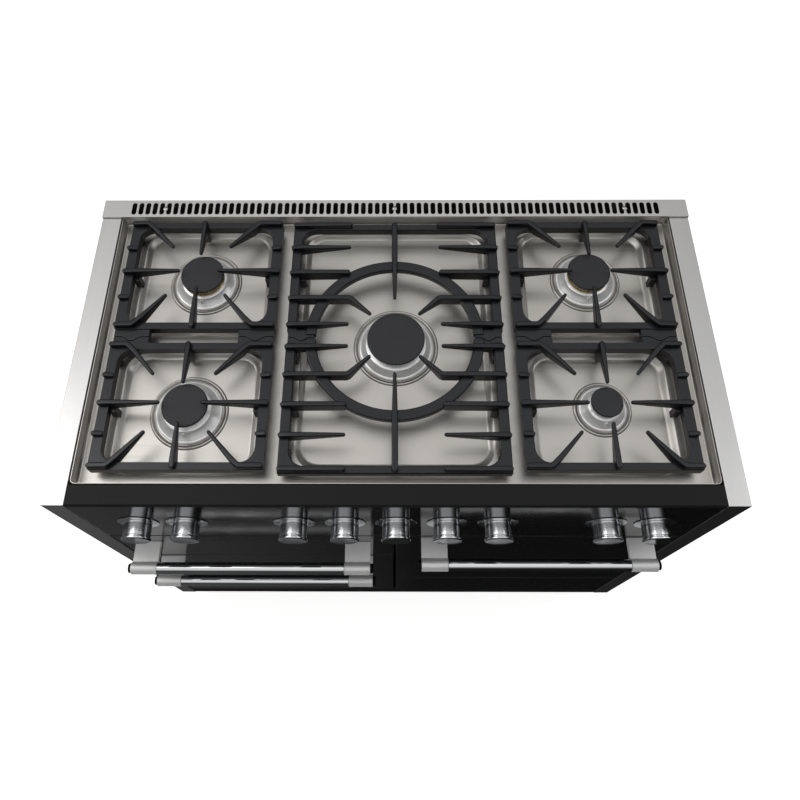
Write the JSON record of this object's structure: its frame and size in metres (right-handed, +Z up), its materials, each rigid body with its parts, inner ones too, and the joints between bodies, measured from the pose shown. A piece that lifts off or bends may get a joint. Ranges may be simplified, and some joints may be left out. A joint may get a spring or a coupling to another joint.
{
  "type": "freestanding gas range",
  "caption": "Wide freestanding gas range with five burners, cast iron pan supports, two ovens, a grill and a drawer behind gloss black fronts.",
  "frame": {"origin": "middle of the footprint, at floor level", "axes": "+X to the right of a person facing the range, +Y towards the wall behind it, +Z up"},
  "size_m": [1.082, 0.6359, 0.919],
  "materials": {
    "stainless": "brushed, satin",
    "black_satin": "satin",
    "black_gloss": "high gloss",
    "cast_iron": "satin enamel",
    "cap_enamel": "matt enamel",
    "aluminium": "satin, turned",
    "chrome": "polished",
    "satin_chrome": "satin",
    "oven_enamel": "gloss enamel",
    "galvanised": "galvanised, dull",
    "foot_steel": "zinc plated",
    "brass": "as machined",
    "shelf_chrome": "bright plated"
  },
  "bodies": {
    "range_body": {"side_panel_left": "stainless", "side_panel_right": "stainless", "rear_vent_trim": "stainless", "hob_tray": "stainless", "front_rail": "black_satin", "base_frame": "black_satin", "control_fascia": "black_gloss", "back_panel": "galvanised", "grill_cavity": "oven_enamel", "left_oven_cavity": "oven_enamel", "right_oven_cavity": "oven_enamel", "grill_pan": "oven_enamel", "left_oven_shelf": "shelf_chrome", "right_oven_shelf": "shelf_chrome", "gas_rail": "brass", "burner_body_left_rear": "aluminium", "burner_body_left_front": "aluminium", "burner_body_centre": "aluminium", "burner_body_right_rear": "aluminium", "burner_body_right_front": "aluminium", "foot_front_left": "foot_steel", "foot_front_right": "foot_steel", "foot_rear_left": "foot_steel", "foot_rear_right": "foot_steel"},
    "grill_door": {"grill_door_panel": "black_gloss", "grill_door_liner": "oven_enamel", "grill_handle_bar": "chrome", "grill_handle_bracket_left": "satin_chrome", "grill_handle_bracket_right": "satin_chrome"},
    "left_oven_door": {"left_oven_door_panel": "black_gloss", "left_oven_door_liner": "oven_enamel", "left_oven_handle_bar": "chrome", "left_oven_handle_bracket_left": "satin_chrome", "left_oven_handle_bracket_right": "satin_chrome"},
    "right_oven_door": {"right_oven_door_panel": "black_gloss", "right_oven_door_liner": "oven_enamel", "right_oven_handle_bar": "chrome", "right_oven_handle_bracket_left": "satin_chrome", "right_oven_handle_bracket_right": "satin_chrome"},
    "storage_drawer": {"storage_drawer": "black_gloss"},
    "knob_grill": {"knob_grill": "satin_chrome"},
    "knob_left_oven": {"knob_left_oven": "satin_chrome"},
    "knob_burner_left_rear": {"knob_burner_left_rear": "satin_chrome"},
    "knob_burner_left_front": {"knob_burner_left_front": "satin_chrome"},
    "knob_burner_centre": {"knob_burner_centre": "satin_chrome"},
    "knob_burner_right_front": {"knob_burner_right_front": "satin_chrome"},
    "knob_burner_right_rear": {"knob_burner_right_rear": "satin_chrome"},
    "knob_right_oven": {"knob_right_oven": "satin_chrome"},
    "knob_right_oven_function": {"knob_right_oven_function": "satin_chrome"},
    "pan_support_left_rear": {"pan_support_left_rear": "cast_iron"},
    "pan_support_left_front": {"pan_support_left_front": "cast_iron"},
    "pan_support_centre_rear": {"pan_support_centre_rear": "cast_iron"},
    "pan_support_centre_front": {"pan_support_centre_front": "cast_iron"},
    "pan_support_right_rear": {"pan_support_right_rear": "cast_iron"},
    "pan_support_right_front": {"pan_support_right_front": "cast_iron"},
    "burner_cap_left_rear": {"burner_cap_left_rear": "cap_enamel"},
    "burner_cap_left_front": {"burner_cap_left_front": "cap_enamel"},
    "burner_cap_centre": {"burner_cap_centre": "cap_enamel"},
    "burner_cap_right_rear": {"burner_cap_right_rear": "cap_enamel"},
    "burner_cap_right_front": {"burner_cap_right_front": "cap_enamel"}
  },
  "joints": [
    {"name": "grill_door_hinge", "type": "hinge", "parent": "range_body", "child": "grill_door", "pos_m": [-0.2525, -0.25295, 0.543], "axis": [1, 0, 0], "range_deg": [0, 90]},
    {"name": "left_oven_door_hinge", "type": "hinge", "parent": "range_body", "child": "left_oven_door", "pos_m": [-0.2525, -0.25295, 0.12], "axis": [1, 0, 0], "range_deg": [0, 90]},
    {"name": "right_oven_door_hinge", "type": "hinge", "parent": "range_body", "child": "right_oven_door", "pos_m": [0.2525, -0.25295, 0.284], "axis": [1, 0, 0], "range_deg": [0, 90]},
    {"name": "storage_drawer_slide", "type": "slide", "parent": "range_body", "child": "storage_drawer", "axis": [0, -1, 0], "range_m": [0, 0.36]},
    {"name": "knob_grill_turn", "type": "hinge", "parent": "range_body", "child": "knob_grill", "pos_m": [-0.4222, -0.25895, 0.802], "axis": [0, -1, 0], "range_deg": [0, 270]},
    {"name": "knob_left_oven_turn", "type": "hinge", "parent": "range_body", "child": "knob_left_oven", "pos_m": [-0.3424, -0.25895, 0.802], "axis": [0, -1, 0], "range_deg": [0, 270]},
    {"name": "knob_burner_left_rear_turn", "type": "hinge", "parent": "range_body", "child": "knob_burner_left_rear", "pos_m": [-0.1656, -0.25895, 0.802], "axis": [0, -1, 0], "range_deg": [0, 210]},
    {"name": "knob_burner_left_front_turn", "type": "hinge", "parent": "range_body", "child": "knob_burner_left_front", "pos_m": [-0.0818, -0.25895, 0.802], "axis": [0, -1, 0], "range_deg": [0, 210]},
    {"name": "knob_burner_centre_turn", "type": "hinge", "parent": "range_body", "child": "knob_burner_centre", "pos_m": [0.002, -0.25895, 0.802], "axis": [0, -1, 0], "range_deg": [0, 210]},
    {"name": "knob_burner_right_front_turn", "type": "hinge", "parent": "range_body", "child": "knob_burner_right_front", "pos_m": [0.0858, -0.25895, 0.802], "axis": [0, -1, 0], "range_deg": [0, 210]},
    {"name": "knob_burner_right_rear_turn", "type": "hinge", "parent": "range_body", "child": "knob_burner_right_rear", "pos_m": [0.1696, -0.25895, 0.802], "axis": [0, -1, 0], "range_deg": [0, 210]},
    {"name": "knob_right_oven_turn", "type": "hinge", "parent": "range_body", "child": "knob_right_oven", "pos_m": [0.3464, -0.25895, 0.802], "axis": [0, -1, 0], "range_deg": [0, 270]},
    {"name": "knob_right_oven_function_turn", "type": "hinge", "parent": "range_body", "child": "knob_right_oven_function", "pos_m": [0.4262, -0.25895, 0.802], "axis": [0, -1, 0], "range_deg": [0, 300]},
    {"name": "pan_support_left_rear_lift", "type": "slide", "parent": "range_body", "child": "pan_support_left_rear", "axis": [0, 0, 1], "range_m": [0, 0.06]},
    {"name": "pan_support_left_front_lift", "type": "slide", "parent": "range_body", "child": "pan_support_left_front", "axis": [0, 0, 1], "range_m": [0, 0.06]},
    {"name": "pan_support_centre_rear_lift", "type": "slide", "parent": "range_body", "child": "pan_support_centre_rear", "axis": [0, 0, 1], "range_m": [0, 0.06]},
    {"name": "pan_support_centre_front_lift", "type": "slide", "parent": "range_body", "child": "pan_support_centre_front", "axis": [0, 0, 1], "range_m": [0, 0.06]},
    {"name": "pan_support_right_rear_lift", "type": "slide", "parent": "range_body", "child": "pan_support_right_rear", "axis": [0, 0, 1], "range_m": [0, 0.06]},
    {"name": "pan_support_right_front_lift", "type": "slide", "parent": "range_body", "child": "pan_support_right_front", "axis": [0, 0, 1], "range_m": [0, 0.06]},
    {"name": "burner_cap_left_rear_lift", "type": "slide", "parent": "range_body", "child": "burner_cap_left_rear", "axis": [0, 0, 1], "range_m": [0, 0.006]},
    {"name": "burner_cap_left_front_lift", "type": "slide", "parent": "range_body", "child": "burner_cap_left_front", "axis": [0, 0, 1], "range_m": [0, 0.006]},
    {"name": "burner_cap_centre_lift", "type": "slide", "parent": "range_body", "child": "burner_cap_centre", "axis": [0, 0, 1], "range_m": [0, 0.006]},
    {"name": "burner_cap_right_rear_lift", "type": "slide", "parent": "range_body", "child": "burner_cap_right_rear", "axis": [0, 0, 1], "range_m": [0, 0.006]},
    {"name": "burner_cap_right_front_lift", "type": "slide", "parent": "range_body", "child": "burner_cap_right_front", "axis": [0, 0, 1], "range_m": [0, 0.006]}
  ]
}
